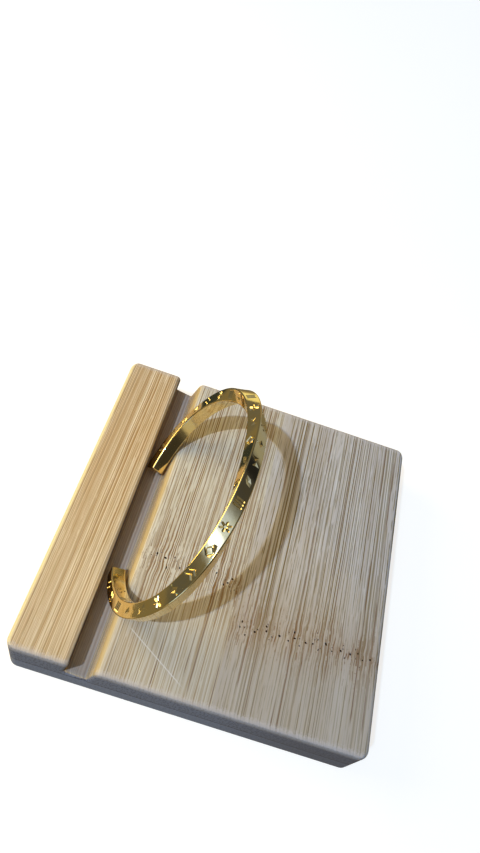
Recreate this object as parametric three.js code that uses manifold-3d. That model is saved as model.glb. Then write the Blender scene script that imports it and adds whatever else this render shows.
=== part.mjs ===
// Open cuff bangle standing in the slanted groove of a small bamboo display block.
// Millimetres, +Z up. The origin is the middle of the block's underside.
// +X runs across the block, +Y along the groove, +Z up.
//
// The cuff is one bar of square section, bent into an open oval and twisted by about half
// a turn between its two ends, so each of its four faces takes its turn at the outside.
// Its two ends reach down into the groove and the oval leans over the plate.

import * as THREE from 'three';
import * as BufferGeometryUtils from 'three/addons/utils/BufferGeometryUtils.js';
import Module from 'manifold-3d';

// ---------------------------------------------------------------- driving dimensions, mm
const BLOCK_W = 90.0;          // across the groove
const BLOCK_L = 92.7;          // along the groove
const BLOCK_T = 14.9;          // thickness
const BLOCK_CORNER_R = 2.7;    // upright corners, seen from above
const BLOCK_EDGE_R = 1.1;      // top and bottom edges

// groove section: x measured from the block's left side, depth from its top
const GROOVE = {
  leftTop: 15.70,              // edge of the narrow strip
  leftFloor: 14.80,            // the wall is slightly undercut
  leftDepth: 6.35,
  rightFloor: 20.10,
  rightDepth: 7.60,
  rightTop: 22.25,             // where the slanted wall meets the top plane
  leftRound: 1.25,             // rounding of the strip's edge
  rightRound: 1.55,            // rounding of the plate's edge
  floorFillet: 0.45,
};

const BAR = 3.75;              // side of the square bar
const BAR_ARRIS = 0.32;        // rounding of its four arrises
const BAR_END_R = 0.30;        // rounding of its end faces
const OVAL_A = 25.08;          // middle line: half the oval in the leaning direction
const OVAL_B = 31.08;          // middle line: half the oval along the groove
const OVAL_N = 2.112;          // 2 is an ellipse, more is squarer
const LEAN = 61.1;             // degrees between the oval's plane and the plate
const OVAL_CENTRE = [-16.34, -2.83, 31.12];
const NEAR_END = 141.3;        // degrees round from the crown to the front end
const FAR_END = 145.0;         // and to the back end

// twist of the bar at even steps from the front end to the back end, degrees
const TWIST = [341.9, 345.5, 315.8, 274.3, 223.9, 176.6, 187.9];

const BAR_STEPS = 150;         // stations along the bar

// ---------------------------------------------------------------- helpers
const rad = (d) => d * Math.PI / 180;

// value at s (0..1) of a smooth curve through evenly spaced values
function smoothTable(values, s) {
  const last = values.length - 1;
  const x = Math.min(Math.max(s, 0), 1) * last;
  const i = Math.min(Math.floor(x), last - 1);
  const f = x - i;
  const slope = (k) => k === 0 ? values[1] - values[0]
    : k === last ? values[last] - values[last - 1]
      : (values[k + 1] - values[k - 1]) / 2;
  return (2 * f ** 3 - 3 * f ** 2 + 1) * values[i] + (f ** 3 - 2 * f ** 2 + f) * slope(i)
    + (-2 * f ** 3 + 3 * f ** 2) * values[i + 1] + (f ** 3 - f ** 2) * slope(i + 1);
}

function weld(geometry) {
  const g = geometry.clone();
  g.deleteAttribute('normal');
  g.deleteAttribute('uv');
  return BufferGeometryUtils.mergeVertices(g, 1e-4);
}

const wasm = await Module();
wasm.setup();

function toSolid(geometry) {
  const g = weld(geometry);
  const mesh = new wasm.Mesh({
    numProp: 3,
    vertProperties: new Float32Array(g.attributes.position.array),
    triVerts: new Uint32Array(g.index.array),
  });
  mesh.merge();
  return new wasm.Manifold(mesh);
}

function toGeometry(solid) {
  const m = solid.getMesh();
  const g = new THREE.BufferGeometry();
  g.setAttribute('position', new THREE.BufferAttribute(new Float32Array(m.vertProperties), 3));
  g.setIndex(new THREE.BufferAttribute(new Uint32Array(m.triVerts), 1));
  g.computeVertexNormals();
  return g;
}

// ---------------------------------------------------------------- display block
function roundedRectangle(w, l, r) {
  const s = new THREE.Shape();
  const x = w / 2, y = l / 2;
  s.moveTo(-x + r, -y);
  s.lineTo(x - r, -y);
  s.absarc(x - r, -y + r, r, -Math.PI / 2, 0, false);
  s.lineTo(x, y - r);
  s.absarc(x - r, y - r, r, 0, Math.PI / 2, false);
  s.lineTo(-x + r, y);
  s.absarc(-x + r, y - r, r, Math.PI / 2, Math.PI, false);
  s.lineTo(-x, -y + r);
  s.absarc(-x + r, -y + r, r, Math.PI, Math.PI * 1.5, false);
  return s;
}

function displayBlock() {
  const e = BLOCK_EDGE_R;
  const slab = new THREE.ExtrudeGeometry(
    roundedRectangle(BLOCK_W - 2 * e, BLOCK_L - 2 * e, BLOCK_CORNER_R - e), {
      depth: BLOCK_T - 2 * e, bevelEnabled: true, bevelThickness: e, bevelSize: e,
      bevelSegments: 4, curveSegments: 6,
    });
  slab.translate(0, 0, e);

  // the groove's section, as a shape in x and z
  const G = GROOVE;
  const x0 = -BLOCK_W / 2;
  const top = BLOCK_T;
  const lt = x0 + G.leftTop, lf = x0 + G.leftFloor, rf = x0 + G.rightFloor, rt = x0 + G.rightTop;
  const zl = top - G.leftDepth, zr = top - G.rightDepth;
  const f = G.floorFillet;
  const slope = (rt - rf) / (top - zr);           // right wall, x per z
  const p = new THREE.Shape();
  p.moveTo(lt - G.leftRound, top + 3);
  p.lineTo(lt - G.leftRound, top);
  p.quadraticCurveTo(lt - 0.25, top - 0.05, lt, top - G.leftRound);
  p.lineTo(lf, zl + f);
  p.quadraticCurveTo(lf, zl, lf + f, zl - f * (zl - zr) / (rf - lf));
  p.lineTo(rf - f, zr + f * (zl - zr) / (rf - lf));
  p.quadraticCurveTo(rf, zr, rf + f * slope, zr + f);
  p.lineTo(rt - G.rightRound * slope, top - G.rightRound);
  p.quadraticCurveTo(rt, top, rt + G.rightRound, top);
  p.lineTo(rt + G.rightRound, top + 3);
  p.closePath();
  const cutter = new THREE.ExtrudeGeometry(p, { depth: BLOCK_L + 8, bevelEnabled: false, curveSegments: 6 });
  cutter.rotateX(Math.PI / 2);                    // x stays, the shape's y becomes z
  cutter.translate(0, BLOCK_L / 2 + 4, 0);
  return toGeometry(toSolid(slab).subtract(toSolid(cutter)));
}

// ---------------------------------------------------------------- cuff
// middle line of the bar: an oval in the leaning plane, angle 0 at the crown
function middleLine(t) {
  const c = Math.cos(t), s = Math.sin(t);
  const r = (Math.abs(c / OVAL_A) ** OVAL_N + Math.abs(s / OVAL_B) ** OVAL_N) ** (-1 / OVAL_N);
  const up = new THREE.Vector3(Math.cos(rad(LEAN)), 0, Math.sin(rad(LEAN)));
  return new THREE.Vector3(...OVAL_CENTRE)
    .addScaledVector(up, r * c)
    .addScaledVector(new THREE.Vector3(0, 1, 0), r * s);
}

// one section of the bar, anticlockwise, as [along first direction, along second]
function barSection(side, arris) {
  const h = side / 2, pts = [];
  for (let k = 0; k < 4; k++) {
    const a = Math.PI / 2 * k;
    for (const d of [0, 45, 90]) {
      const b = a + rad(d);
      const cx = (h - arris) * Math.SQRT2 * Math.cos(a + Math.PI / 4);
      const cy = (h - arris) * Math.SQRT2 * Math.sin(a + Math.PI / 4);
      pts.push([cx + arris * Math.cos(b), cy + arris * Math.sin(b)]);
    }
  }
  return pts;
}

function cuff() {
  // stations at even lengths along the middle line
  const fine = 3000;
  const t0 = -rad(NEAR_END), t1 = rad(FAR_END);
  const pts = [], len = [0];
  for (let i = 0; i <= fine; i++) {
    pts.push(middleLine(t0 + (t1 - t0) * i / fine));
    if (i) len.push(len[i - 1] + pts[i].distanceTo(pts[i - 1]));
  }
  const total = len[fine];
  const at = (d) => {                             // middle line at distance d
    let lo = 0, hi = fine;
    while (hi - lo > 1) { const m = (lo + hi) >> 1; if (len[m] <= d) lo = m; else hi = m; }
    return pts[lo].clone().lerp(pts[hi], (d - len[lo]) / (len[hi] - len[lo]));
  };
  const side2 = new THREE.Vector3(-Math.sin(rad(LEAN)), 0, Math.cos(rad(LEAN)));  // across the oval's plane

  // distances: a small round at each end, then even steps
  const rows = [];
  const e = BAR_END_R;
  rows.push([0, e]);
  rows.push([e * 0.3, e * 0.3]);
  for (let i = 0; i <= BAR_STEPS; i++) rows.push([e + (total - 2 * e) * i / BAR_STEPS, 0]);
  rows.push([total - e * 0.3, e * 0.3]);
  rows.push([total, e]);

  const base = barSection(BAR, BAR_ARRIS);
  const n = base.length;
  const v = [];
  for (const [d, inset] of rows) {
    const p = at(Math.min(Math.max(d, 0), total));
    const a = at(Math.max(d - 0.2, 0)), b = at(Math.min(d + 0.2, total));
    const dir = b.sub(a).normalize();
    const out = new THREE.Vector3().crossVectors(dir, side2).normalize();         // outwards in the oval's plane
    const w = rad(smoothTable(TWIST, d / total));
    const e1 = out.clone().multiplyScalar(Math.cos(w)).addScaledVector(side2, Math.sin(w));
    const e2 = out.clone().multiplyScalar(-Math.sin(w)).addScaledVector(side2, Math.cos(w));
    const k = 1 - inset / (BAR / 2);
    for (const [x, y] of base) {
      v.push(p.x + k * (x * e1.x + y * e2.x), p.y + k * (x * e1.y + y * e2.y), p.z + k * (x * e1.z + y * e2.z));
    }
  }
  const idx = [];
  const m = rows.length;
  for (let i = 0; i < m - 1; i++) {
    for (let j = 0; j < n; j++) {
      const a = i * n + j, b = i * n + (j + 1) % n, c = (i + 1) * n + j, d = (i + 1) * n + (j + 1) % n;
      idx.push(a, b, d, a, d, c);
    }
  }
  for (let j = 1; j < n - 1; j++) {
    idx.push(0, j + 1, j);
    idx.push((m - 1) * n, (m - 1) * n + j, (m - 1) * n + j + 1);
  }
  let g = new THREE.BufferGeometry();
  g.setAttribute('position', new THREE.Float32BufferAttribute(v, 3));
  g.setIndex(idx);
  // keep the faces outward whichever way the section turned
  if (volume(g) < 0) {
    for (let i = 0; i < idx.length; i += 3) [idx[i], idx[i + 1]] = [idx[i + 1], idx[i]];
    g.setIndex(idx);
  }
  g.computeVertexNormals();
  return g;
}

function volume(g) {
  const p = g.attributes.position, ix = g.index;
  const a = new THREE.Vector3(), b = new THREE.Vector3(), c = new THREE.Vector3();
  let s = 0;
  for (let i = 0; i < ix.count; i += 3) {
    a.fromBufferAttribute(p, ix.getX(i));
    b.fromBufferAttribute(p, ix.getX(i + 1));
    c.fromBufferAttribute(p, ix.getX(i + 2));
    s += a.dot(b.cross(c)) / 6;
  }
  return s;
}

// ---------------------------------------------------------------- model
const gold = new THREE.MeshStandardMaterial({ color: 0xd9ad55, roughness: 0.14, metalness: 1.0 });
const bamboo = new THREE.MeshStandardMaterial({ color: 0xcdb48a, roughness: 0.6, metalness: 0.0 });

const group = new THREE.Group();

const bangle = new THREE.Mesh(cuff(), gold);
bangle.name = 'bangle';
group.add(bangle);

const block = new THREE.Mesh(displayBlock(), bamboo);
block.name = 'display_block';
group.add(block);

export default group;
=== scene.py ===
import math

import bpy
import numpy as np
from mathutils import Matrix, Vector
from mathutils.geometry import delaunay_2d_cdt


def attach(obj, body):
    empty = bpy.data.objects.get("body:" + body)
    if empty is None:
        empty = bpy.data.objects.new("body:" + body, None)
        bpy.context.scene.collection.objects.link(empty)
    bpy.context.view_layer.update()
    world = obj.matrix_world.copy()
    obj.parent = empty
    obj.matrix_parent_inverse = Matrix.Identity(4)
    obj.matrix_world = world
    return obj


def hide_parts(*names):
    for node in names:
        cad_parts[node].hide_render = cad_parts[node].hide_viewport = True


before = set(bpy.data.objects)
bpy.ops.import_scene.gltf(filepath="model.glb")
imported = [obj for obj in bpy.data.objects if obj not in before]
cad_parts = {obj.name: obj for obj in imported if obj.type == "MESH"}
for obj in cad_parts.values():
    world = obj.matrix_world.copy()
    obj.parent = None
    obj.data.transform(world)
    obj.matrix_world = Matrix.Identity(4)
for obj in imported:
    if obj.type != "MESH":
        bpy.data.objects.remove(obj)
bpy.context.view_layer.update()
MM = 0.001

# ------------------------------------------------------------------ sizes, mm (the same as the solids')
BLOCK_W, BLOCK_L, BLOCK_T = 90.0, 92.7, 14.9
CORNER_R, EDGE_R = 2.7, 1.1
GR = dict(leftTop=15.70, leftFloor=14.80, leftDepth=6.35, rightFloor=20.10, rightDepth=7.60,
          rightTop=22.25, leftRound=1.25, rightRound=1.55, floorFillet=0.45)
BAR, ARRIS, END_R = 3.75, 0.38, 0.34
OVAL_A, OVAL_B, OVAL_N, LEAN = 25.08, 31.08, 2.112, math.radians(61.1)
OVAL_C = np.array([-16.34, -2.83, 31.12])
NEAR_END, FAR_END = math.radians(141.3), math.radians(145.0)
TWIST = [341.9, 345.5, 315.8, 274.3, 223.9, 176.6, 187.9]


# ------------------------------------------------------------------ camera
def camera():
    cam = bpy.data.cameras.new("camera")
    ob = bpy.data.objects.new("camera", cam)
    bpy.context.scene.collection.objects.link(ob)
    right = Vector((0.94741013, 0.23476085, 0.21748883))
    down = Vector((0.31766931, -0.77214399, -0.55034522))
    ahead = Vector((0.03873318, 0.59049217, -0.80611336))
    m = Matrix((right, -down, -ahead)).transposed().to_4x4()
    m.translation = Vector((-0.01519396, -0.08605769, 0.18017182))
    ob.matrix_world = m
    cam.sensor_fit = "AUTO"
    cam.sensor_width = 36.0
    cam.lens = 36.0 * 672.727 / 853.0
    cam.clip_start, cam.clip_end = 0.005, 20.0
    bpy.context.scene.camera = ob


# ------------------------------------------------------------------ small mesh helpers
def build_mesh(name, verts, faces, normals=None, attrs=None):
    """verts in mm; normals one per face corner, flattened, or None."""
    me = bpy.data.meshes.new(name)
    me.from_pydata([tuple(v) for v in (np.asarray(verts) * MM)], [], faces)
    for key, values in (attrs or {}).items():
        a = me.attributes.new(key, "FLOAT", "POINT")
        a.data.foreach_set("value", np.asarray(values, np.float32))
    me.polygons.foreach_set("use_smooth", [True] * len(me.polygons))
    me.update()
    if normals is not None:
        me.normals_split_custom_set([tuple(n) for n in normals])
    ob = bpy.data.objects.new(name, me)
    bpy.context.scene.collection.objects.link(ob)
    return ob


# ------------------------------------------------------------------ cuff: its middle line and turning section
def _oval(t):
    c, s = np.cos(t), np.sin(t)
    r = (np.abs(c / OVAL_A) ** OVAL_N + np.abs(s / OVAL_B) ** OVAL_N) ** (-1 / OVAL_N)
    up = np.array([math.cos(LEAN), 0, math.sin(LEAN)])
    return OVAL_C + (r * c)[:, None] * up + (r * s)[:, None] * np.array([0.0, 1.0, 0.0])


_T = np.linspace(-NEAR_END, FAR_END, 6001)
_P = _oval(_T)
_L = np.r_[0, np.cumsum(np.linalg.norm(np.diff(_P, axis=0), axis=1))]
LENGTH = float(_L[-1])
SIDE2 = np.array([-math.sin(LEAN), 0, math.cos(LEAN)])


def _twist(s):
    v, last = np.array(TWIST), len(TWIST) - 1
    x = np.clip(s, 0, 1) * last
    i = np.minimum(np.floor(x).astype(int), last - 1)
    f = x - i
    slopes = np.r_[v[1] - v[0], (v[2:] - v[:-2]) / 2, v[-1] - v[-2]]
    return np.radians((2 * f**3 - 3 * f**2 + 1) * v[i] + (f**3 - 2 * f**2 + f) * slopes[i]
                      + (-2 * f**3 + 3 * f**2) * v[i + 1] + (f**3 - f**2) * slopes[i + 1])


def bar_frame(d):
    """middle point, direction, and the section's two directions at distance d along the bar (array)."""
    d = np.asarray(d, float)
    at = lambda q: np.stack([np.interp(q, _L, _P[:, k]) for k in range(3)], -1)
    p = at(d)
    u = at(np.minimum(d + 0.2, LENGTH)) - at(np.maximum(d - 0.2, 0))
    u /= np.linalg.norm(u, axis=-1, keepdims=True)
    out = np.cross(u, SIDE2)
    out /= np.linalg.norm(out, axis=-1, keepdims=True)
    w = _twist(d / LENGTH)[..., None]
    return p, u, out * np.cos(w) + SIDE2 * np.sin(w), -out * np.sin(w) + SIDE2 * np.cos(w)


def bar_point(d, x, y):
    p, _, e1, e2 = bar_frame(d)
    return p + np.asarray(x)[..., None] * e1 + np.asarray(y)[..., None] * e2


def bar_normal(d, x, y, nx, ny):
    """true normal of the swept surface at section point (x, y), whose section normal is (nx, ny)."""
    e = 0.25
    along = bar_point(np.minimum(d + e, LENGTH), x, y) - bar_point(np.maximum(d - e, 0), x, y)
    _, _, e1, e2 = bar_frame(d)
    tang = -np.asarray(ny)[..., None] * e1 + np.asarray(nx)[..., None] * e2
    n = np.cross(tang, along)
    n /= np.linalg.norm(n, axis=-1, keepdims=True)
    flat = np.asarray(nx)[..., None] * e1 + np.asarray(ny)[..., None] * e2
    return n * np.sign((n * flat).sum(-1, keepdims=True))


# ------------------------------------------------------------------ cut marks: plain ornament, in (along, across) mm
STROKE_W, STROKE_D = 0.58, 0.22
PIT_D = 0.28


def stroke(a, b, w=STROKE_W, dp=STROKE_D):
    return ("stroke", np.array(a, float), np.array(b, float), w, dp)


def pit(points, dp=PIT_D):
    return ("pit", np.array(points, float), dp)


def ring(cx, cy, r, n=8):
    return [(cx + r * math.cos(2 * math.pi * k / n + 0.39), cy + r * math.sin(2 * math.pi * k / n + 0.39)) for k in range(n)]


MARKS = {
    "star": [stroke((-1.02, 0), (1.02, 0)), stroke((-0.56, -1.06), (0.56, 1.06)), stroke((-0.56, 1.06), (0.56, -1.06))],
    "lozenge": [pit([(-1.20, 0), (0, -0.74), (1.20, 0), (0, 0.74)]), pit(ring(0, 1.20, 0.25)), pit(ring(0, -1.20, 0.25))],
    "chevrons": [stroke((-1.05, -1.02), (-0.30, 0)), stroke((-0.30, 0), (-1.05, 1.02)),
                 stroke((0.15, -1.02), (0.90, 0)), stroke((0.90, 0), (0.15, 1.02))],
    "wedges": [pit([(-1.20, -1.22), (-0.10, -0.22), (-1.20, 0.62)]), pit([(1.20, 1.22), (0.10, 0.22), (1.20, -0.62)])],
    "leaf": [pit([(-1.25, -0.78), (-0.38, -0.86), (0.72, -0.26), (1.25, 0.78), (0.38, 0.86), (-0.72, 0.26)])],
    "bars": [stroke((-1.02, -0.98), (-0.52, 0.98)), stroke((-0.25, -0.98), (0.25, 0.98)), stroke((0.52, -0.98), (1.02, 0.98))],
    "frame": [stroke((-1.10, 0), (0, -1.14)), stroke((0, -1.14), (1.10, 0)), stroke((1.10, 0), (0, 1.14)), stroke((0, 1.14), (-1.10, 0))],
    "dots": [pit(ring(-0.86, 0, 0.37)), pit(ring(0.86, 0, 0.37)), pit(ring(0, 0.98, 0.37)), pit(ring(0, -0.98, 0.37))],
}
# face, distance of each mark from the front end, its offset across, and the marks used in turn
MARK_ROWS = {
    "C": ([5.2, 10.7, 16.6, 22.4, 28.2, 33.9, 39.1, 44.5, 50.3, 56.0, 61.8, 67.1, 72.4, 77.6, 83.0, 88.6, 94.2,
           99.8, 105.4, 111.0, 116.6, 122.2, 127.8, 133.4, 139.0],
          ["dots", "chevrons", "bars", "leaf", "wedges", "star", "lozenge", "chevrons", "frame", "star", "bars",
           "leaf", "wedges", "lozenge"]),
    "B": ([9.9, 15.5, 21.1, 26.7, 32.3, 37.9, 43.5, 49.1, 54.7, 60.3, 66.3, 72.6, 78.4, 84.4, 89.9, 95.8,
           101.6, 107.2, 112.8, 118.4, 124.0, 129.6, 135.2, 140.8],
          ["dots", "chevrons", "lozenge", "leaf", "frame", "wedges", "star", "bars"]),
    "A": ([5.4, 11.0, 16.6, 22.2, 27.8, 33.4, 39.0, 44.6, 50.2, 55.8, 61.4, 67.0, 72.6, 78.2, 83.8, 89.4, 95.2,
           100.9, 106.4, 112.2, 117.8, 122.9, 127.8, 133.0, 138.4],
          ["wedges", "lozenge", "bars", "star", "dots", "leaf", "frame", "chevrons"]),
}


def mark_lines(item, at):
    """constraint points and edges of one stroke or pit, and its depth as a function."""
    at = np.array(at)
    if item[0] == "stroke":
        _, a, b, w, dp = item
        a, b = a + at, b + at
        u = (b - a) / np.linalg.norm(b - a)
        n = np.array([-u[1], u[0]])
        h, ln = w / 2, np.linalg.norm(b - a)
        pts = [a, b, a - u * h, b + u * h, a + n * h, a - n * h, b + n * h, b - n * h]
        edges = [(0, 1), (2, 4), (4, 6), (6, 3), (3, 7), (7, 5), (5, 2), (0, 2), (0, 4), (0, 5), (1, 3), (1, 6), (1, 7)]

        def depth(q):
            r = q - a
            s, c = r @ u, np.abs(r @ n)
            beyond = np.maximum(0, np.maximum(-s, s - ln))
            return dp * np.maximum(0, 1 - (c + beyond) / h)
        return pts, edges, depth
    _, poly, dp = item
    poly = poly + at
    mid = poly.mean(0)
    k = len(poly)
    pts = [*poly, mid]
    edges = [(i, (i + 1) % k) for i in range(k)] + [(i, k) for i in range(k)]
    lines = []
    for i in range(k):
        p, q = poly[i], poly[(i + 1) % k]
        n = np.array([-(q - p)[1], (q - p)[0]])
        n /= np.linalg.norm(n)
        if (mid - p) @ n < 0:
            n = -n
        lines.append((p, n, (mid - p) @ n))

    def depth(q):
        return dp * np.maximum(0, np.min([((q - p) @ n) / full for p, n, full in lines], axis=0))
    return pts, edges, depth


def cdt(points, edges):
    v, e, f, *_ = delaunay_2d_cdt([Vector((float(a), float(b))) for a, b in points], edges, [], 0, 1e-5)
    return np.array([tuple(p) for p in v], float), [tuple(t) for t in f]


# ------------------------------------------------------------------ cuff mesh
def cuff():
    H = BAR / 2 - 0.02                  # a hair inside the faceted solid
    h = H - ARRIS
    stations = np.linspace(END_R, LENGTH - END_R, 331)
    vrow = np.linspace(-h, h, 7)
    # face: section normal (nx, ny) and the across direction (mx, my), a quarter turn on
    faces_of = {"D": ((1, 0), (0, 1)), "C": ((0, 1), (-1, 0)), "B": ((-1, 0), (0, -1)), "A": ((0, -1), (1, 0))}
    order = ["D", "C", "B", "A"]
    ARC = 6
    verts, cuts, key = [], [], {}
    tris, norms = [], []

    def add(pos, cut=0.0):
        k = tuple(np.round(pos, 4))
        i = key.get(k)
        if i is None:
            i = key[k] = len(verts)
            verts.append(pos)
            cuts.append(cut)
        return i

    def emit(ids, ns, towards):
        """one face; wound so that it looks towards the given direction."""
        p = [verts[i] for i in ids]
        n = np.cross(p[1] - p[0], p[2] - p[0])
        if len(ids) == 4:
            n = np.cross(p[2] - p[0], p[3] - p[1])
        if n @ towards < 0:
            ids, ns = ids[::-1], ns[::-1]
        tris.append(tuple(ids))
        norms.extend(ns)

    for name in order:
        (nx, ny), (mx, my) = faces_of[name]
        pts = [(d, v) for d in stations for v in (-h, h)]
        pts += [(d, v) for d in (stations[0], stations[-1]) for v in vrow[1:-1]]
        edges, depths = [], []
        spots = []
        if name in MARK_ROWS:
            ds, kinds = MARK_ROWS[name]
            for k, d in enumerate(ds):
                spots.append(d)
                for item in MARKS[kinds[k % len(kinds)]]:
                    p, e, fn = mark_lines(item, (d, 0.0))
                    base = len(pts)
                    pts += [tuple(q) for q in p]
                    edges += [(base + a, base + b) for a, b in e]
                    depths.append((d, fn))
        spots = np.array(spots if spots else [-99.0])
        for d in stations[2:-2:2]:
            if np.abs(spots - d).min() > 1.45:
                pts += [(d, v) for v in vrow[1:-1]]
            else:
                pts += [(d, -h + 0.22), (d, h - 0.22)]
        # the boundary runs along the stations
        idx = {(round(a, 5), round(b, 5)): i for i, (a, b) in enumerate(pts)}
        for v in (-h, h):
            ids = [idx[(round(d, 5), round(v, 5))] for d in stations]
            edges += list(zip(ids[:-1], ids[1:]))
        out, faces = cdt(pts, edges)
        for k in range(len(out)):
            if abs(abs(out[k, 1]) - h) < 2e-3:
                out[k, 1] = math.copysign(h, out[k, 1])
                out[k, 0] = stations[np.abs(stations - out[k, 0]).argmin()]
            elif min(abs(out[k, 0] - stations[0]), abs(out[k, 0] - stations[-1])) < 2e-3:
                out[k, 0] = stations[0] if out[k, 0] < LENGTH / 2 else stations[-1]
                out[k, 1] = vrow[np.abs(vrow - out[k, 1]).argmin()]
        d, v = out[:, 0], out[:, 1]

        def dip(q):
            z = np.zeros(len(q))
            for dc, fn in depths:
                near = np.abs(q[:, 0] - dc) < 2.2
                if near.any():
                    z[near] = np.maximum(z[near], fn(q[near]))
            return z

        z = dip(out)
        x, y = nx * H + mx * v, ny * H + my * v
        surf = bar_point(d, x, y)
        nrm = bar_normal(d, x, y, np.full(len(d), float(nx)), np.full(len(d), float(ny)))
        pos = surf - nrm * z[:, None]
        ids = [add(p, c) for p, c in zip(pos, z)]
        cen = out[[list(f) for f in faces]].mean(1)
        deep = dip(cen) > 1e-4
        for f, cut in zip(faces, deep):
            i = [ids[k] for k in f]
            if len(set(i)) < 3:
                continue
            toward = nrm[f[0]]
            if cut:
                p = [pos[k] for k in f]
                n = np.cross(p[1] - p[0], p[2] - p[0])
                ln = np.linalg.norm(n)
                if ln < 1e-9:
                    n, ln = toward, 1.0
                n = n / ln
                if n @ toward < 0:
                    n = -n
                emit(i, [n, n, n], toward)
            else:
                emit(i, [nrm[k] for k in f], toward)

    # arrises
    th = np.linspace(0, math.pi / 2, ARC + 1)
    for name in order:
        (nx, ny), (mx, my) = faces_of[name]
        ring_ids, ring_n = [], []
        for a in th:
            sx, sy = nx * math.cos(a) + mx * math.sin(a), ny * math.cos(a) + my * math.sin(a)
            x, y = h * (nx + mx) + ARRIS * sx, h * (ny + my) + ARRIS * sy
            one = np.ones(len(stations))
            pos = bar_point(stations, x * one, y * one)
            ring_ids.append([add(p) for p in pos])
            ring_n.append(bar_normal(stations, x * one, y * one, sx * one, sy * one))
        for j in range(ARC):
            for i in range(len(stations) - 1):
                a, b, c, d = ring_ids[j][i], ring_ids[j + 1][i], ring_ids[j + 1][i + 1], ring_ids[j][i + 1]
                emit([a, b, c, d], [ring_n[j][i], ring_n[j + 1][i], ring_n[j + 1][i + 1], ring_n[j][i + 1]],
                     ring_n[j][i])

    # rounded ends and flat end faces
    sec = []
    for name in order:
        (nx, ny), (mx, my) = faces_of[name]
        for v in vrow:
            sec.append((nx * H + mx * v, ny * H + my * v, nx, ny))
        for a in th[1:-1]:
            sx, sy = nx * math.cos(a) + mx * math.sin(a), ny * math.cos(a) + my * math.sin(a)
            sec.append((h * (nx + mx) + ARRIS * sx, h * (ny + my) + ARRIS * sy, sx, sy))
    sec = np.array(sec)
    m = len(sec)
    for start in (True, False):
        d0 = stations[0] if start else stations[-1]
        sgn = -1.0 if start else 1.0
        p0, u0, e1, e2 = [q[0] for q in bar_frame(np.array([d0]))]
        rows, rown = [], []
        for a in np.linspace(0, math.pi / 2, 5):
            k = 1 - END_R * (1 - math.cos(a)) / H
            dd = d0 + sgn * END_R * math.sin(a)
            p, u, f1, f2 = [q[0] for q in bar_frame(np.array([min(max(dd, 0), LENGTH)]))]
            pos = p + k * (sec[:, :1] * f1 + sec[:, 1:2] * f2)
            flat = sec[:, 2:3] * f1 + sec[:, 3:4] * f2
            rows.append([add(q) for q in pos])
            rown.append(flat * math.cos(a) + sgn * u * math.sin(a))
        for r in range(len(rows) - 1):
            for i in range(m):
                j = (i + 1) % m
                emit([rows[r][i], rows[r][j], rows[r + 1][j], rows[r + 1][i]],
                     [rown[r][i], rown[r][j], rown[r + 1][j], rown[r + 1][i]], rown[r][i])
        last = rows[-1]
        c = add(np.mean([verts[i] for i in last], axis=0))
        nn = sgn * u
        for i in range(m):
            emit([last[i], last[(i + 1) % m], c], [nn, nn, nn], nn)
    return build_mesh("gold_cuff", verts, tris, norms, {"cut": cuts})


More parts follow.
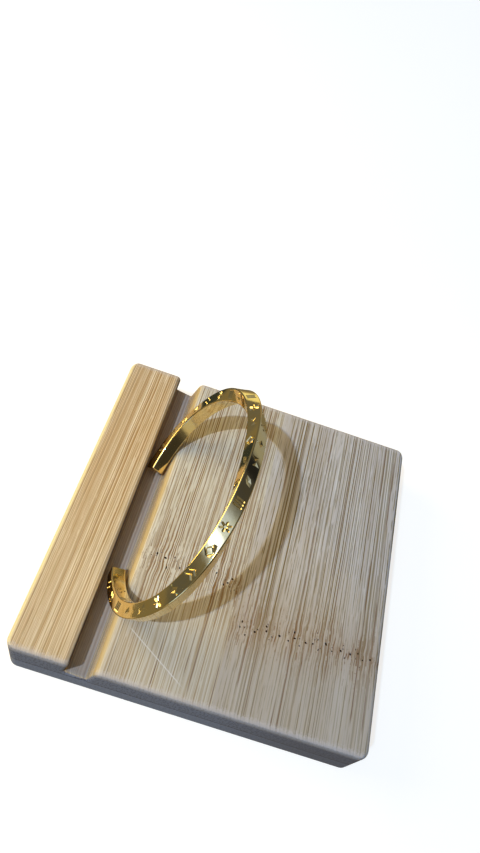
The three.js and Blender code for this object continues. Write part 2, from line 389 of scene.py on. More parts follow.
# ------------------------------------------------------------------ display block mesh
def block_profile():
    """points (x, z) and their outward normals round the section, anticlockwise seen from the front (-Y)."""
    out = []
    top, x0, x1 = BLOCK_T, -BLOCK_W / 2, BLOCK_W / 2
    G, R = GR, EDGE_R

    def p(x, z, nx, nz):
        n = math.hypot(nx, nz)
        out.append((x, z, nx / n, nz / n))

    def arc(cx, cz, r, a0, a1, n=8):
        for k in range(n + 1):
            a = math.radians(a0 + (a1 - a0) * k / n)
            p(cx + r * math.cos(a), cz + r * math.sin(a), math.cos(a), math.sin(a))

    def quad(a, c, b, n=10):
        """curve from a to b with control c; the material lies on its left when walking a to b."""
        for k in range(n + 1):
            t = k / n
            x = (1 - t) ** 2 * a[0] + 2 * t * (1 - t) * c[0] + t * t * b[0]
            z = (1 - t) ** 2 * a[1] + 2 * t * (1 - t) * c[1] + t * t * b[1]
            dx = 2 * (1 - t) * (c[0] - a[0]) + 2 * t * (b[0] - c[0])
            dz = 2 * (1 - t) * (c[1] - a[1]) + 2 * t * (b[1] - c[1])
            p(x, z, dz, -dx)

    def line(a, b, stops):
        """points between a and b at the given distances from each end, with the line's normal."""
        L = math.dist(a, b)
        ux, uz = (b[0] - a[0]) / L, (b[1] - a[1]) / L
        for s in stops:
            s = s if s >= 0 else L + s
            p(a[0] + ux * s, a[1] + uz * s, uz, -ux)

    arc(x0 + R, R, R, 180, 270)
    line((x0 + R, 0), (x1 - R, 0), [0.4, 2.9, 20, 44, 68, -2.9, -0.4])
    arc(x1 - R, R, R, 270, 360)
    line((x1, R), (x1, top - R), [0.4, 3, 6, -3, -0.4])
    arc(x1 - R, top - R, R, 0, 90)
    lt, lf, rf, rt = x0 + G["leftTop"], x0 + G["leftFloor"], x0 + G["rightFloor"], x0 + G["rightTop"]
    zl, zr, f = top - G["leftDepth"], top - G["rightDepth"], G["floorFillet"]
    slope = (rt - rf) / (top - zr)
    fl = f * (zl - zr) / (rf - lf)
    a = (rt + G["rightRound"], top)
    out.append("patch")
    line((x1 - R, top), a, [0.4, 2.9, -0.4])
    out.append("patch_end")
    b = (rt - G["rightRound"] * slope, top - G["rightRound"])
    quad(a, (rt, top), b)
    c = (rf + f * slope, zr + f)
    line(b, c, [0.4, 2.0, -2.0, -0.4])
    d = (rf - f, zr + fl)
    quad(c, (rf, zr), d, 5)
    e = (lf + f, zl - fl)
    line(d, e, [0.3, 2.0, -0.3])
    g = (lf, zl + f)
    quad(e, (lf, zl), g, 5)
    i = (lt, top - G["leftRound"])
    line(g, i, [0.3, 2.0, -0.4])
    j = (lt - G["leftRound"], top)
    quad(i, (lt - 0.20, top - 0.10), j)
    line(j, (x0 + R, top), [0.4, 5, -2.9, -0.4])
    arc(x0 + R, top - R, R, 90, 180)
    line((x0, top - R), (x0, R), [0.4, 3, -3, -0.4])
    return out


# pores in the joints of the cane: x, y, size across, size along (mm)
def pores():
    rng = np.random.default_rng(11)
    seen = [(-18.3, -12.6, .5, .6), (-15.9, -13.1, .6, .5), (-14.9, -15.6, .35, .6), (-13.6, -12.2, .3, .4),
            (-4.8, -15.7, .35, .5), (2.6, -13.0, .5, .5), (0.6, -15.2, .35, .5), (1.6, -14.4, .5, .35),
            (2.4, -15.3, .3, .3), (-8.6, -13.9, .4, .5), (-11.6, -14.6, .35, .45), (-1.9, -12.7, .35, .45),
            (7.8, -23.1, .4, .5), (7.5, -24.6, .35, .45), (11.5, -24.7, .55, .4), (12.1, -23.9, .3, .3),
            (14.2, -22.4, .4, .55), (14.4, -23.6, .5, .45), (17.9, -23.7, .6, .5), (20.4, -24.2, .35, .4),
            (21.6, -21.6, .4, .5), (21.9, -23.1, .5, .4), (24.9, -23.3, .5, .45), (9.2, -26.2, .3, .45),
            (16.1, -24.6, .3, .35), (23.4, -24.6, .3, .35),
            (26.8, -23.0, .35, .45), (30.2, -22.0, .5, .6), (34.3, -22.5, .45, .5), (36.9, -22.6, .5, .45),
            (32.0, -23.3, .3, .35), (38.9, -21.8, .35, .45), (40.3, -23.1, .3, .4), (42.3, -22.4, .4, .5),
            (28.4, -24.1, .3, .4), (35.5, -24.0, .3, .35), (43.1, -21.6, .3, .4)]
    # smaller ones between them
    for y0, xa, xb, n in ((-13.8, -20.5, 4.2, 16), (-23.4, 6.0, 25.2, 12), (-22.6, 26.5, 43.2, 12)):
        for _ in range(n):
            seen.append((rng.uniform(xa, xb), y0 + rng.normal(0, 1.3), rng.uniform(.16, .26), rng.uniform(.2, .42)))
    keep = []
    for s in seen:
        if all(math.dist(s[:2], k[:2]) > 0.5 + 0.65 * max(s[2], s[3]) for k in keep) and s[0] < 42.9:
            keep.append(s)
    return keep


def display_block():
    raw = block_profile()
    prof, patch = [], []
    for r in raw:
        if isinstance(r, str):
            patch.append(len(prof))
        else:
            if prof and math.hypot(r[0] - prof[-1][0], r[1] - prof[-1][1]) < 1e-6:
                # one point where two runs meet: keep the average normal
                q = prof[-1]
                n = math.hypot(q[2] + r[2], q[3] + r[3])
                prof[-1] = (q[0], q[1], (q[2] + r[2]) / n, (q[3] + r[3]) / n)
                continue
            prof.append(r)
    P = np.array(prof)
    half, R = BLOCK_L / 2, EDGE_R
    # sections: distance along Y and inset
    rows = []
    for k in range(9):
        a = math.radians(90 * k / 8)
        rows.append((-half + R * (1 - math.cos(a)), R * (1 - math.sin(a))))
    for extra in (1.5, 2.0, 2.4, 2.8, 3.3, 8.0, 20.0, 33.0):
        rows.append((-half + extra, 0.0))
    rows = rows + [(0.0, 0.0)] + [(-y, i) for y, i in rows[::-1]]
    verts, faces = [], []
    grid = []
    for y, inset in rows:
        over = max(0.0, abs(y) - (half - CORNER_R))
        xm = BLOCK_W / 2 - CORNER_R + math.sqrt(max(0.0, CORNER_R**2 - over**2))
        line = []
        for x, z, nx, nz in P:
            zz = z - inset * nz
            if abs(x) > 41.0:
                xx = math.copysign(41.0 + (abs(x) - 41.0) * (xm - 41.0) / 4.0, x)
            else:
                xx = x - inset * nx
            line.append(len(verts))
            verts.append((xx, y, zz))
        grid.append(line)
    n = len(P)
    pa, pb = patch[0], patch[1] - 1           # the plate's flat top lies between these profile points
    i0, i1 = 9, len(rows) - 10                # and these sections
    for i in range(len(rows) - 1):
        for j in range(n):
            k = (j + 1) % n
            if pa <= j < pb and i0 <= i < i1:
                continue
            faces.append((grid[i][j], grid[i][k], grid[i + 1][k], grid[i + 1][j]))
    # end faces
    for line, flip in ((grid[0], False), (grid[-1], True)):
        pts = [(verts[i][0], verts[i][2]) for i in line]
        m = len(pts)
        v, e, f, *_ = delaunay_2d_cdt([Vector(q) for q in pts], [(i, (i + 1) % m) for i in range(m)], [], 1, 1e-6)
        ids = [line[int(np.hypot(*(np.array(pts) - tuple(p)).T).argmin())] for p in v]
        for t in f:
            t = [ids[k] for k in t]
            faces.append(tuple(t[::-1]) if flip else tuple(t))
    # the plate's top, with its pores sunk in
    zt = BLOCK_T
    xa, xb = P[pb][0], P[pa][0]
    ya, yb = rows[i0][0], rows[i1][0]
    pts, edges, key = [], [], {}

    def put(x, y):
        k = (round(x, 4), round(y, 4))
        if k not in key:
            key[k] = len(pts)
            pts.append((x, y))
        return key[k]

    border = {}
    side = []
    for i in range(i0, i1 + 1):
        for j in (pa, pb):
            x, y, _ = verts[grid[i][j]]
            border[put(x, y)] = grid[i][j]
    for i in (i0, i1):
        for j in range(pa, pb + 1):
            x, y, _ = verts[grid[i][j]]
            border[put(x, y)] = grid[i][j]
    for i in range(i0, i1):
        for j in (pa, pb):
            edges.append((put(*verts[grid[i][j]][:2]), put(*verts[grid[i + 1][j]][:2])))
    for i in (i0, i1):
        for j in range(pa, pb):
            edges.append((put(*verts[grid[i][j]][:2]), put(*verts[grid[i][j + 1]][:2])))
    sunk = {}
    for x, y, a, b in pores():
        a, b = 1.3 * a, 1.3 * b
        deep = 0.55 * min(a, b)
        wob = x * 5.1 + y * 3.7
        for part, down in ((1.0, 0.0), (0.80, 0.62), (0.45, 0.95)):
            ring_ids = [put(x + a / 2 * part * math.cos(t) * (1 + .16 * math.sin(2 * t + wob)),
                            y + b / 2 * part * math.sin(t) * (1 + .16 * math.sin(2 * t + wob)))
                        for t in np.linspace(0, 2 * math.pi, 11)[:-1]]
            edges += [(ring_ids[k], ring_ids[(k + 1) % len(ring_ids)]) for k in range(len(ring_ids))]
            for k in ring_ids:
                sunk[k] = deep * down
        sunk[put(x, y)] = deep
    out, tri = cdt(pts, edges)
    given = np.array(pts)
    pore = np.zeros(len(out))
    for k, q in enumerate(out):
        far = np.hypot(*(given - q).T)
        i = int(far.argmin())
        if far[i] < 2e-3:
            pore[k] = sunk.get(i, 0.0)
    ids = []
    rim = np.array([pts[k] for k in border])
    rim_ids = list(border.values())
    dark = {}
    for q, dp in zip(out, pore):
        far = np.hypot(*(rim - q).T)
        g = rim_ids[int(far.argmin())] if far.min() < 1e-3 else None
        if g is None:
            g = len(verts)
            verts.append((q[0], q[1], zt - dp))
            # painted shade: the pore's darkness grows with its depth
            dark[g] = min(1.0, dp * 6)
        ids.append(g)
    for t in tri:
        a, b, c = [ids[k] for k in t]
        if len({a, b, c}) < 3:
            continue
        va, vb, vc = [np.array(verts[i]) for i in (a, b, c)]
        if np.cross(vb - va, vc - va)[2] < 0:
            b, c = c, b
        faces.append((a, b, c))
    # consistent winding: outwards
    V = np.array(verts)
    vol = 0.0
    for f in faces[: (len(rows) - 1) * n]:
        p = V[list(f)]
        vol += np.dot(p[0], np.cross(p[1], p[2])) + (np.dot(p[0], np.cross(p[2], p[3])) if len(f) == 4 else 0)
    attr = np.zeros(len(verts))
    for g, v in dark.items():
        attr[g] = v
    ob = build_mesh("bamboo_block", verts, faces, None, {"pore": attr})
    bm_fix(ob)
    # the plate's plane part is flat right up to its pores
    me = ob.data
    want = [(0.0, 0.0, 0.0)] * len(me.loops)
    top = [abs(v.co.z - BLOCK_T * MM) < 1e-7 for v in me.vertices]
    for p in me.polygons:
        if len(p.vertices) == 3 and all(top[i] for i in p.vertices):
            for k in p.loop_indices:
                want[k] = (0.0, 0.0, 1.0)
    me.normals_split_custom_set(want)
    return ob


def bm_fix(ob):
    import bmesh
    bm = bmesh.new()
    bm.from_mesh(ob.data)
    bmesh.ops.recalc_face_normals(bm, faces=bm.faces[:])
    open_edges = [e for e in bm.edges if not e.is_manifold]
    print("open edges of", ob.name, len(open_edges), "faces", len(bm.faces), "verts", len(bm.verts))
    bm.to_mesh(ob.data)
    bm.free()
    ob.data.polygons.foreach_set("use_smooth", [True] * len(ob.data.polygons))
    ob.data.update()


# ------------------------------------------------------------------ node helpers
class Graph:
    def __init__(self, tree):
        self.t = tree

    def new(self, kind, **props):
        n = self.t.nodes.new(kind)
        for k, v in props.items():
            setattr(n, k, v)
        return n

    def put(self, socket, value):
        if isinstance(value, bpy.types.NodeSocket):
            self.t.links.new(value, socket)
        elif value is not None:
            socket.default_value = value

    def math(self, op, a, b=None, c=None, clamp=False):
        n = self.new("ShaderNodeMath", operation=op, use_clamp=clamp)
        for s, v in zip(n.inputs, (a, b, c)):
            self.put(s, v)
        return n.outputs[0]

    def vmath(self, op, a, b=None, out=0):
        n = self.new("ShaderNodeVectorMath", operation=op)
        self.put(n.inputs[0], a)
        if b is not None:
            self.put(n.inputs[1], b)
        return n.outputs[out]

    def xyz(self, v):
        n = self.new("ShaderNodeSeparateXYZ")
        self.put(n.inputs[0], v)
        return n.outputs[0], n.outputs[1], n.outputs[2]

    def combine(self, x, y, z):
        n = self.new("ShaderNodeCombineXYZ")
        for s, v in zip(n.inputs, (x, y, z)):
            self.put(s, v)
        return n.outputs[0]

    def noise(self, vec, scale=1.0, detail=2.0, rough=0.5, dims="3D", w=None, dist=0.0):
        n = self.new("ShaderNodeTexNoise", noise_dimensions=dims)
        if vec is not None:
            self.put(n.inputs["Vector"], vec)
        if w is not None:
            self.put(n.inputs["W"], w)
        n.inputs["Scale"].default_value = scale
        n.inputs["Detail"].default_value = detail
        n.inputs["Roughness"].default_value = rough
        n.inputs["Distortion"].default_value = dist
        return n.outputs[0]

    def white(self, w):
        n = self.new("ShaderNodeTexWhiteNoise", noise_dimensions="1D")
        self.put(n.inputs["W"], w)
        return n.outputs[0]

    def ramp(self, x, lo, hi, a=0.0, b=1.0, smooth=True):
        n = self.new("ShaderNodeMapRange", interpolation_type="SMOOTHSTEP" if smooth else "LINEAR")
        n.clamp = True
        self.put(n.inputs["Value"], x)
        for k, v in (("From Min", lo), ("From Max", hi), ("To Min", a), ("To Max", b)):
            self.put(n.inputs[k], v)
        return n.outputs[0]

    def mix(self, fac, a, b, blend="MIX"):
        n = self.new("ShaderNodeMix", data_type="RGBA", blend_type=blend)
        n.clamp_factor = True
        self.put(n.inputs[0], fac)
        for s, v in ((n.inputs[6], a), (n.inputs[7], b)):
            self.put(s, (*v, 1.0) if isinstance(v, tuple) and len(v) == 3 else v)
        return n.outputs[2]

    def attr(self, name):
        return self.new("ShaderNodeAttribute", attribute_name=name).outputs["Fac"]

    def bump(self, height, strength, distance, normal=None):
        n = self.new("ShaderNodeBump")
        n.inputs["Strength"].default_value = strength
        n.inputs["Distance"].default_value = distance
        self.put(n.inputs["Height"], height)
        if normal is not None:
            self.put(n.inputs["Normal"], normal)
        return n.outputs[0]


def material(name):
    m = bpy.data.materials.new(name)
    m.use_nodes = True
    g = Graph(m.node_tree)
    bsdf = m.node_tree.nodes["Principled BSDF"]
    pos = g.new("ShaderNodeTexCoord").outputs["Object"]
    mm = g.vmath("MULTIPLY", pos, (1000.0, 1000.0, 1000.0))
    return m, g, bsdf, mm


# ------------------------------------------------------------------ gold
def gold_material():
    m, g, bsdf, mm = material("polished_gold")
    x, y, z = g.xyz(mm)
    cloud = g.noise(mm, 0.35, 3.0, 0.55)
    fine = g.noise(mm, 4.5, 3.0, 0.6)
    scratch = g.noise(g.vmath("MULTIPLY", mm, (9.0, 1.2, 9.0)), 1.0, 2.0, 0.7)
    cut = g.ramp(g.attr("cut"), 0.02, 0.26)
    tone = g.mix(g.ramp(cloud, 0.35, 0.68), (0.93, 0.72, 0.33), (0.90, 0.73, 0.38))
    tone = g.mix(g.math("MULTIPLY", cut, 0.5), tone, (0.88, 0.70, 0.32))
    g.put(bsdf.inputs["Base Color"], tone)
    bsdf.inputs["Metallic"].default_value = 1.0
    r = g.ramp(fine, 0.3, 0.75, 0.07, 0.13)
    r = g.math("ADD", r, g.ramp(scratch, 0.60, 0.78, 0.0, 0.07))
    r = g.math("ADD", r, g.math("MULTIPLY", cut, 0.08))
    g.put(bsdf.inputs["Roughness"], r)
    n = g.bump(g.noise(mm, 0.55, 2.0, 0.5), 0.35, 0.00006)
    n = g.bump(fine, 0.10, 0.00001, n)
    n = g.bump(scratch, 0.06, 0.00001, n)
    g.put(bsdf.inputs["Normal"], n)
    return m


# ------------------------------------------------------------------ bamboo
def bamboo_material():
    m, g, bsdf, mm = material("sanded_bamboo")
    x, y, z = g.xyz(mm)
    M = g.math
    # across the fibres: x on the top, and going on round the edges into z on the walls
    warp = g.noise(g.combine(M("MULTIPLY", x, 0.10), M("MULTIPLY", y, 0.020), M("MULTIPLY", z, 0.10)), 1.0, 1.0, 0.5)
    warp2 = g.noise(g.combine(M("MULTIPLY", x, 0.7), M("MULTIPLY", y, 0.10), M("MULTIPLY", z, 0.7)), 1.0, 1.0, 0.5)

    # lamellas of the board: 0 strip, 1, 2, 3 across the plate
    gt = lambda v: M("GREATER_THAN", x, v)
    is_plate = gt(-23.6)
    l2, l3 = gt(5.4), gt(25.6)
    lam = M("ADD", M("ADD", is_plate, l2), l3)
    rnd = lambda v, k: g.white(M("ADD", M("MULTIPLY", M("FLOOR", v), 1.37), k))

    # the cane's joints: distance along Y from this lamella's joint
    yn = M("ADD", M("ADD", M("MULTIPLY", is_plate, -513.6), 500.0),
           M("ADD", M("MULTIPLY", l2, -9.7), M("MULTIPLY", l3, 1.0)))
    wav = M("MULTIPLY", M("SUBTRACT", g.noise(g.combine(M("MULTIPLY", x, 0.35), 0.0, 0.0), 1.0, 2.0, 0.6), 0.5), 2.6)
    dy = M("ADD", M("SUBTRACT", y, yn), wav)
    near = M("EXPONENT", M("MULTIPLY", M("MULTIPLY", dy, dy), -1 / 40.0))
    close = M("EXPONENT", M("MULTIPLY", M("MULTIPLY", dy, dy), -1 / 3.2))

    u = M("ADD", x, M("MULTIPLY", z, 0.93))
    u = M("ADD", u, M("MULTIPLY", M("SUBTRACT", warp, 0.5), 1.1))
    u = M("ADD", u, M("MULTIPLY", M("SUBTRACT", warp2, 0.5), 0.20))
    # the fibres swerve a little at a joint
    swerve = g.noise(g.combine(M("MULTIPLY", x, 0.45), M("MULTIPLY", y, 0.22), 17.0), 1.0, 1.0, 0.5)
    u = M("ADD", u, M("MULTIPLY", M("MULTIPLY", near, M("SUBTRACT", swerve, 0.5)), 1.1))

    # some stretches of the cane are full of fibres, others nearly clear
    bunch = g.noise(g.combine(M("MULTIPLY", u, 0.17), M("MULTIPLY", y, 0.004), 41.0), 1.0, 1.0, 0.5)
    bunch = M("MULTIPLY", M("SUBTRACT", 0.5, bunch), M("ADD", M("MULTIPLY", is_plate, 0.40), 0.30))
    bunch = M("SUBTRACT", bunch, M("MULTIPLY", M("SUBTRACT", 1.0, is_plate), 0.07))

    def lines(pitch, width, seed, keep, run, least=0.45):
        """long fibres: one in each cell of the pitch, set off its middle, coming and going along Y."""
        c = M("DIVIDE", u, pitch)
        f = M("FRACT", c)
        off = M("MULTIPLY", M("SUBTRACT", rnd(c, seed), 0.5), 0.64)
        d = M("MULTIPLY", M("ABSOLUTE", M("SUBTRACT", M("SUBTRACT", f, 0.5), off)), pitch)
        w = M("MULTIPLY", M("ADD", M("MULTIPLY", rnd(c, seed + 7.7), 0.7), 0.6), width)
        core = M("SUBTRACT", 1.0, g.ramp(d, M("MULTIPLY", w, 0.65), w), clamp=True)
        gone = g.noise(g.combine(M("MULTIPLY", M("FLOOR", c), 3.1), M("MULTIPLY", y, 1.0 / run), seed), 1.0, 3.0, 0.6)
        lo = M("ADD", bunch, keep)
        on = g.ramp(gone, lo, M("ADD", lo, 0.10))
        amp = M("ADD", M("MULTIPLY", rnd(c, seed + 3.3), 1.0 - least), least)
        return M("MULTIPLY", M("MULTIPLY", core, on), amp)

    a = lines(0.97, 0.185, 1.0, 0.36, 30.0, 0.30)
    b = lines(0.58, 0.130, 5.0, 0.40, 12.0, 0.35)
    c = lines(2.9, 0.17, 9.0, 0.46, 40.0, 0.6)
    dash = lines(0.78, 0.17, 13.0, 0.42, 3.8, 0.6)
    pale = lines(1.43, 0.16, 31.0, 0.47, 22.0, 0.4)
    fine = M("MULTIPLY", lines(0.63, 0.115, 51.0, 0.33, 34.0, 0.5), M("SUBTRACT", 1.0, is_plate))
    # fainter toward the front
    near_front = M("MAXIMUM", M("MULTIPLY", is_plate, g.ramp(y, -14.0, -36.0, 0.0, 0.42)),
                   M("MULTIPLY", M("SUBTRACT", 1.0, is_plate), g.ramp(y, 30.0, -44.0, 0.0, 0.55)))
    faint = M("SUBTRACT", 1.0, near_front)
    a, b = M("MULTIPLY", a, faint), M("MULTIPLY", b, faint)
    pale = M("MULTIPLY", pale, faint)
    a = M("MULTIPLY", a, M("ADD", M("MULTIPLY", is_plate, 0.08), 0.92))

    # ground colour: broad soft bands and a fine mottling along the fibres
    band = g.noise(g.combine(M("MULTIPLY", u, 0.30), M("MULTIPLY", y, 0.012), 3.0), 1.0, 2.0, 0.55)
    fib = g.noise(g.combine(M("MULTIPLY", u, 2.6), M("MULTIPLY", y, 0.10), 7.0), 1.0, 3.0, 0.6)
    ground_s = g.mix(g.ramp(band, 0.32, 0.70), (0.98, 0.77, 0.445), (0.87, 0.63, 0.335))
    ground_p = g.mix(g.ramp(band, 0.30, 0.72), (0.84, 0.74, 0.51), (0.73, 0.60, 0.39))
    ground_r = g.mix(g.ramp(band, 0.30, 0.72), (0.76, 0.655, 0.50), (0.62, 0.51, 0.375))
    ground = g.mix(is_plate, ground_s, g.mix(l2, ground_p, ground_r))
    ground = g.mix(g.ramp(fib, 0.40, 0.74, 0.0, 0.44), ground, (0.52, 0.35, 0.11))
    tint = rnd(M("ADD", lam, 0.5), 21.0)
    ground = g.mix(M("MULTIPLY", tint, 0.18), ground, (0.56, 0.44, 0.28))

    line_l1 = g.mix(g.ramp(y, -10.0, -30.0), (0.26, 0.105, 0.008), (0.35, 0.165, 0.025))
    line_col = g.mix(is_plate, (0.44, 0.19, 0.022), g.mix(l2, line_l1, (0.22, 0.135, 0.026)))
    # painted shade: the plate is mixed towards a darker brown near its front edge
    ground = g.mix(M("MULTIPLY", is_plate, g.ramp(y, -20.0, -44.0, 0.0, 0.22)), ground, (0.55, 0.45, 0.30))
    ground = g.mix(M("MULTIPLY", M("MULTIPLY", near, M("SUBTRACT", is_plate, l2, clamp=True)), 0.35), ground, (0.97, 0.87, 0.62))
    ground = g.mix(M("MULTIPLY", pale, 0.55), ground, g.mix(is_plate, (1.0, 0.82, 0.50), (0.93, 0.84, 0.64)))
    # painted shade: the plate's front right is mixed towards a darker, warm brown
    painted_warm_shade = M("MULTIPLY", g.ramp(y, 6.0, -20.0), g.ramp(x, -6.0, 12.0, 0.0, 0.50))
    ground = g.mix(painted_warm_shade, ground, (0.60, 0.455, 0.265))
    col = g.mix(M("MULTIPLY", b, 0.78), ground, line_col)
    col = g.mix(M("MULTIPLY", a, 0.94), col, line_col)
    col = g.mix(M("MULTIPLY", fine, 0.66), col, (0.46, 0.20, 0.025))
    col = g.mix(M("MULTIPLY", c, M("ADD", M("MULTIPLY", is_plate, 0.30), 0.58)), col,
                g.mix(is_plate, (0.34, 0.155, 0.030), (0.22, 0.105, 0.038)))
    # joints: browner, with short dark flecks and a thin paler band
    col = g.mix(M("MULTIPLY", near, M("ADD", M("MULTIPLY", l2, 0.14), 0.06)), col, (0.40, 0.22, 0.09))
    wide = M("EXPONENT", M("MULTIPLY", M("MULTIPLY", dy, dy), -1 / 70.0))
    col = g.mix(M("MULTIPLY", M("MULTIPLY", wide, dash), 0.88), col, (0.26, 0.125, 0.032))
    col = g.mix(M("MULTIPLY", close, g.ramp(g.noise(mm, 1.6, 3.0, 0.7), 0.50, 0.72, 0.0, 0.35)), col, (0.20, 0.11, 0.05))
    blot = g.ramp(g.noise(g.combine(M("MULTIPLY", x, 0.55), M("MULTIPLY", y, 0.16), 23.0), 1.0, 2.0, 0.6), 0.54, 0.74, 0.0, 0.42)
    blot = M("MULTIPLY", blot, M("ADD", M("MULTIPLY", l2, 0.7), 0.3))
    col = g.mix(M("MULTIPLY", near, blot), col, (0.34, 0.155, 0.045))
    # pores: painted shade, the colour darker the deeper the pit
    pore = g.attr("pore")
    col = g.mix(g.ramp(pore, 0.0, 0.55, 0.0, 0.97), col, (0.045, 0.022, 0.008))

    # a thin pale scratch on the plate
    ax, ay, bx, by = -19.0, -33.0, -1.5, -43.5
    ln = math.hypot(bx - ax, by - ay)
    ux, uy = (bx - ax) / ln, (by - ay) / ln
    sx, sy = M("SUBTRACT", x, ax), M("SUBTRACT", y, ay)
    al = M("ADD", M("MULTIPLY", sx, ux), M("MULTIPLY", sy, uy))
    ac = M("ABSOLUTE", M("SUBTRACT", M("MULTIPLY", sx, uy), M("MULTIPLY", sy, ux)))
    scr = M("SUBTRACT", 1.0, g.ramp(ac, 0.07, 0.20), clamp=True)
    scr = M("MULTIPLY", scr, M("MULTIPLY", g.ramp(al, 0.0, 1.5), M("SUBTRACT", 1.0, g.ramp(al, ln - 4.0, ln), clamp=True)))
    scr = M("MULTIPLY", scr, M("GREATER_THAN", z, 14.5))
    col = g.mix(M("MULTIPLY", scr, 0.60), col, (0.92, 0.83, 0.66))

    # the groove: painted shade on the strip's wall, a painted darker grey on its floor, and a painted orange highlight
    # on the plate's rounded edge
    nrm = g.new("ShaderNodeTexCoord").outputs["Normal"]
    nx, ny, nz = g.xyz(nrm)
    in_groove = M("MULTIPLY", M("GREATER_THAN", x, -31.6), M("LESS_THAN", x, -20.9))
    # painted shade: the strip's wall inside the groove is darkened, most from the middle to the front, lighter at its
    # back end
    wall = M("MULTIPLY", M("MULTIPLY", in_groove, g.ramp(nx, 0.66, 0.86)), M("GREATER_THAN", z, 2.0))
    deep = g.ramp(y, 38.0, 18.0)
    col = g.mix(M("MULTIPLY", wall, g.ramp(y, 38.0, 18.0, 0.80, 0.94)), col, g.mix(deep, (0.20, 0.14, 0.065), (0.095, 0.056, 0.038)))
    # painted shade: the groove's floor is mixed towards a darker, greyer colour
    floor = M("MULTIPLY", M("MULTIPLY", in_groove, g.ramp(nz, 0.75, 0.95)), M("LESS_THAN", z, 10.0))
    col = g.mix(M("MULTIPLY", floor, 0.62), col, (0.375, 0.325, 0.275))
    # painted highlight: the plate's rounded edge above the groove is painted bright orange
    painted_edge_highlight = M("MULTIPLY", M("MULTIPLY", in_groove, g.ramp(nx, -0.32, -0.62)), g.ramp(z, 11.8, 12.9))
    col = g.mix(M("MULTIPLY", painted_edge_highlight, 0.74), col, (0.60, 0.41, 0.15))

    # painted highlight: the strip's outer rounded edge is painted pale yellow
    painted_rim_highlight = M("MULTIPLY", M("MULTIPLY", M("LESS_THAN", x, -40.0), g.ramp(nx, -0.04, -0.30)), M("GREATER_THAN", z, 13.0))
    col = g.mix(M("MULTIPLY", painted_rim_highlight, 0.65), col, (1.0, 0.82, 0.38))

    # end grain: the cut fibres as dark dots in a duller ground, two plies high, furred at its upper edge
    fur = g.noise(g.combine(M("MULTIPLY", x, 2.2), M("MULTIPLY", y, 2.2), M("MULTIPLY", z, 2.2)), 1.0, 3.0, 0.7)
    at_end = M("GREATER_THAN", M("ABSOLUTE", y), 44.9)
    end = g.ramp(M("ADD", M("ABSOLUTE", ny), M("MULTIPLY", M("SUBTRACT", fur, 0.5), 0.55)), 0.50, 0.80)
    end = M("MULTIPLY", end, at_end)
    vor = g.new("ShaderNodeTexVoronoi", voronoi_dimensions="2D")
    g.put(vor.inputs["Vector"], g.combine(M("MULTIPLY", x, 1.0), M("MULTIPLY", z, 0.8), 0.0))
    vor.inputs["Scale"].default_value = 1.15
    vor.inputs["Randomness"].default_value = 0.8
    dot = M("SUBTRACT", 1.0, g.ramp(vor.outputs["Distance"], 0.16, 0.34), clamp=True)
    saw = g.noise(g.combine(M("MULTIPLY", x, 1.4), 0.0, M("MULTIPLY", z, 6.0)), 1.0, 3.0, 0.65)
    endc = g.mix(g.ramp(saw, 0.3, 0.7), (0.345, 0.33, 0.315), (0.25, 0.235, 0.22))
    endc = g.mix(M("MULTIPLY", dot, 0.6), endc, (0.125, 0.10, 0.085))
    ply = M("ADD", z, M("MULTIPLY", M("SUBTRACT", saw, 0.5), 0.5))
    endc = g.mix(M("LESS_THAN", ply, 6.9), endc, g.mix(0.45, endc, (0.41, 0.405, 0.40)))
    seam = M("SUBTRACT", 1.0, g.ramp(M("ABSOLUTE", M("SUBTRACT", ply, 6.9)), 0.10, 0.42), clamp=True)
    endc = g.mix(M("MULTIPLY", seam, 0.6), endc, (0.10, 0.075, 0.055))
    # painted shade: the end grain is mixed towards a dark brown towards its right
    endc = g.mix(g.ramp(x, 0.0, 34.0, 0.0, 0.55), endc, (0.19, 0.145, 0.10))
    # the fibres fray out pale over the top's edge
    fray = g.ramp(M("ADD", M("ABSOLUTE", y), M("MULTIPLY", M("SUBTRACT", fur, 0.5), 3.4)), 44.2, 45.6, 0.0, 0.45)
    col = g.mix(M("MULTIPLY", fray, M("GREATER_THAN", z, 14.0)), col, (0.76, 0.64, 0.50))
    col = g.mix(end, col, endc)
    # the sanded upper lip of the ends
    lip = g.ramp(M("ADD", z, M("MULTIPLY", M("SUBTRACT", fur, 0.5), 3.6)), 12.7, 14.3, 0.0, 0.46)
    lip = M("MULTIPLY", M("MULTIPLY", lip, at_end), g.ramp(M("ABSOLUTE", ny), 0.04, 0.35))
    col = g.mix(lip, col, (0.58, 0.455, 0.31))

    g.put(bsdf.inputs["Base Color"], col)
    rough = g.ramp(fib, 0.3, 0.8, 0.46, 0.62)
    rough = M("ADD", rough, M("MULTIPLY", end, 0.2), clamp=True)
    rough = M("ADD", rough, M("MULTIPLY", pore, 0.4), clamp=True)
    g.put(bsdf.inputs["Roughness"], rough)
    bsdf.inputs["Specular IOR Level"].default_value = 0.12
    h = M("SUBTRACT", M("MULTIPLY", fib, 0.5), M("ADD", M("MULTIPLY", a, 0.6), M("MULTIPLY", b, 0.3)))
    h = M("SUBTRACT", h, M("MULTIPLY", M("MULTIPLY", near, dash), 0.8))
    h = M("ADD", h, M("MULTIPLY", M("MULTIPLY", end, saw), 1.5))
    n = g.bump(h, 0.45, 0.00005)
    g.put(bsdf.inputs["Normal"], n)
    return m


# ------------------------------------------------------------------ floor, light, surroundings
def direction(az, el):
    a, e = math.radians(az), math.radians(el)
    return Vector((math.cos(a) * math.cos(e), math.sin(a) * math.cos(e), math.sin(e)))


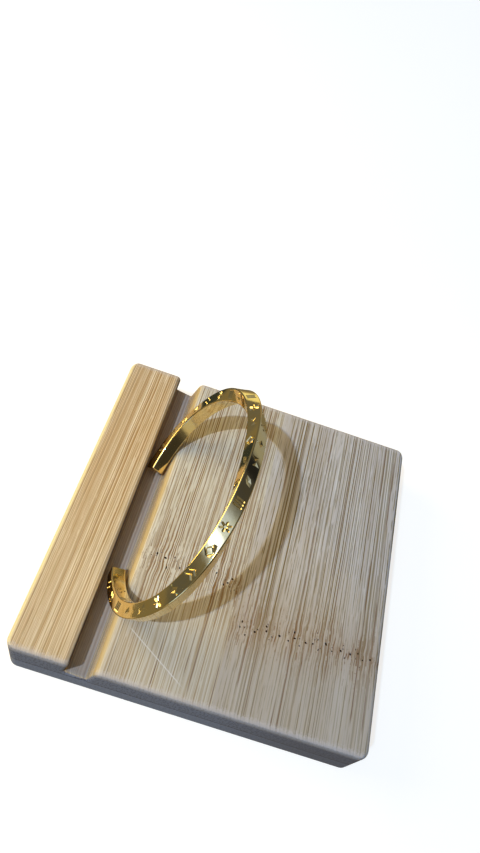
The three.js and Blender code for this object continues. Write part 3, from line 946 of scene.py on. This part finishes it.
def studio():
    me = bpy.data.meshes.new("floor")
    s = 6.0
    me.from_pydata([(-s, -s, 0), (s, -s, 0), (s, s, 0), (-s, s, 0)], [], [(0, 1, 2, 3)])
    floor = bpy.data.objects.new("floor", me)
    bpy.context.scene.collection.objects.link(floor)
    m, g, bsdf, mm = material("pale_floor")
    g.put(bsdf.inputs["Base Color"], g.mix(g.noise(mm, 0.02, 2.0, 0.5), (0.50, 0.42, 0.27), (0.51, 0.43, 0.28)))
    bsdf.inputs["Roughness"].default_value = 0.8
    bsdf.inputs["Emission Color"].default_value = (1, 1, 1, 1)
    bsdf.inputs["Emission Strength"].default_value = 0.76
    me.materials.append(m)
    floor.visible_glossy = False
    floor.visible_diffuse = False

    # a plain pale wall and ceiling far behind everything
    n, r, top = 48, 5.5, 5.0
    ring = [(r * math.cos(2 * math.pi * k / n), r * math.sin(2 * math.pi * k / n)) for k in range(n)]
    me = bpy.data.meshes.new("backdrop")
    me.from_pydata([(x, y, -0.01) for x, y in ring] + [(x, y, top) for x, y in ring], [],
                   [(k, n + k, n + (k + 1) % n, (k + 1) % n) for k in range(n)] + [tuple(range(n, 2 * n))])
    back = bpy.data.objects.new("backdrop", me)
    bpy.context.scene.collection.objects.link(back)
    m, g, bsdf, mm = material("pale_backdrop")
    g.put(bsdf.inputs["Base Color"], g.mix(g.noise(mm, 0.01, 2.0, 0.5), (0.10, 0.10, 0.10), (0.11, 0.11, 0.11)))
    bsdf.inputs["Roughness"].default_value = 1.0
    bsdf.inputs["Emission Color"].default_value = (1, 1, 1, 1)
    bsdf.inputs["Emission Strength"].default_value = 0.88
    me.materials.append(m)
    for name in ("visible_glossy", "visible_diffuse", "visible_transmission", "visible_volume_scatter", "visible_shadow"):
        setattr(back, name, False)

    def area(name, az, el, dist, size, power, colour, target=(0, 0, 0.01), gloss=1.0):
        L = bpy.data.lights.new(name, "AREA")
        L.shape = "DISK"
        L.size = size
        L.energy = power
        L.color = colour
        L.specular_factor = gloss
        o = bpy.data.objects.new(name, L)
        bpy.context.scene.collection.objects.link(o)
        o.location = Vector(target) + direction(az, el) * dist
        o.rotation_mode = "QUATERNION"
        o.rotation_quaternion = (-direction(az, el)).to_track_quat("-Z", "Y")
        return o

    sun = bpy.data.lights.new("key", "SUN")
    sun.energy = 2.03
    sun.angle = math.radians(1.6)
    sun.color = (0.06, 0.345, 1.06)
    sun.specular_factor = 0.12
    so = bpy.data.objects.new("key", sun)
    bpy.context.scene.collection.objects.link(so)
    so.rotation_mode = "QUATERNION"
    so.rotation_quaternion = Vector((0.45, 0.47, -1.0)).to_track_quat("-Z", "Y")

    # a warm spot from the same side as the key, strongest over the strip and the groove
    spot = bpy.data.lights.new("key_warm", "SPOT")
    spot.energy = 372.0
    spot.color = (1.0, 0.75, 0.02)
    spot.spot_size = math.radians(2.64)
    spot.spot_blend = 1.0
    spot.shadow_soft_size = 0.07
    spot.specular_factor = 0.12
    po = bpy.data.objects.new("key_warm", spot)
    bpy.context.scene.collection.objects.link(po)
    aim = Vector((0.45, 0.47, -1.0)).normalized()
    po.location = Vector((-0.032, -0.004, 0.015)) - aim * 5.0
    po.rotation_mode = "QUATERNION"
    po.rotation_quaternion = aim.to_track_quat("-Z", "Y")

    area("warm_left", 171, 28, 0.45, 0.38, 1.58, (1.0, 0.80, 0.33), (-0.03, 0, 0.012), gloss=0.03)
    area("front_cool", -95, 6, 0.8, 0.4, 0.55, (0.25, 0.50, 1.0), gloss=0.0)

    w = bpy.data.worlds.new("studio")
    bpy.context.scene.world = w
    w.use_nodes = True
    g = Graph(w.node_tree)
    bg = w.node_tree.nodes["Background"]
    d = g.vmath("NORMALIZE", g.new("ShaderNodeTexCoord").outputs["Generated"])
    _, _, dz = g.xyz(d)

    def lobe(az, el, full, none):
        """1 within `full` degrees of the direction, 0 beyond `none`."""
        c = g.vmath("DOT_PRODUCT", d, tuple(direction(az, el)), out=1)
        return g.ramp(c, math.cos(math.radians(none)), math.cos(math.radians(full)))

    col = g.mix(g.ramp(dz, -0.12, 0.02), (0.20, 0.17, 0.10), (0.15, 0.14, 0.11))
    col = g.mix(g.ramp(dz, 0.72, 0.98), col, (0.32, 0.38, 0.50))
    col = g.mix(lobe(-142, 66, 10, 27), col, (0.62, 0.80, 1.25))
    col = g.mix(lobe(-142, 60, 4, 11), col, (1.4, 1.7, 2.8))
    col = g.mix(lobe(36, 55, 16, 38), col, (0.056, 0.058, 0.064))
    col = g.mix(lobe(39, 37, 5, 13), col, (0.0152, 0.0165, 0.022))
    col = g.mix(lobe(-35, 20, 16, 38), col, (0.042, 0.038, 0.030))
    col = g.mix(lobe(-160, 14, 8, 24), col, (0.104, 0.104, 0.095))
    col = g.mix(lobe(48, 2, 16, 28), col, (0.30, 0.32, 0.33))
    col = g.mix(lobe(-80, -8, 15, 22), col, (0.52, 0.47, 0.33))
    col = g.mix(lobe(84, 4, 10, 16), col, (0.42, 0.29, 0.12))
    col = g.mix(lobe(88, -14, 9, 14), col, (0.58, 0.44, 0.18))
    col = g.mix(lobe(104, -9, 8, 12), col, (0.96, 0.89, 0.44))
    col = g.mix(lobe(141, -25, 8, 12), col, (0.034, 0.042, 0.040))
    g.put(bg.inputs["Color"], col)
    bg.inputs["Strength"].default_value = 1.0


# ------------------------------------------------------------------ put together
camera()
gold = gold_material()
bamboo = bamboo_material()

bangle = cuff()
bm_check = bangle.data
bangle.data.materials.append(gold)
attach(bangle, "root")
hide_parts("bangle")

block = display_block()
block.data.materials.append(bamboo)
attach(block, "root")
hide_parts("display_block")

studio()
bpy.context.scene.view_settings.view_transform = "Standard"
bpy.context.scene.view_settings.look = "None"
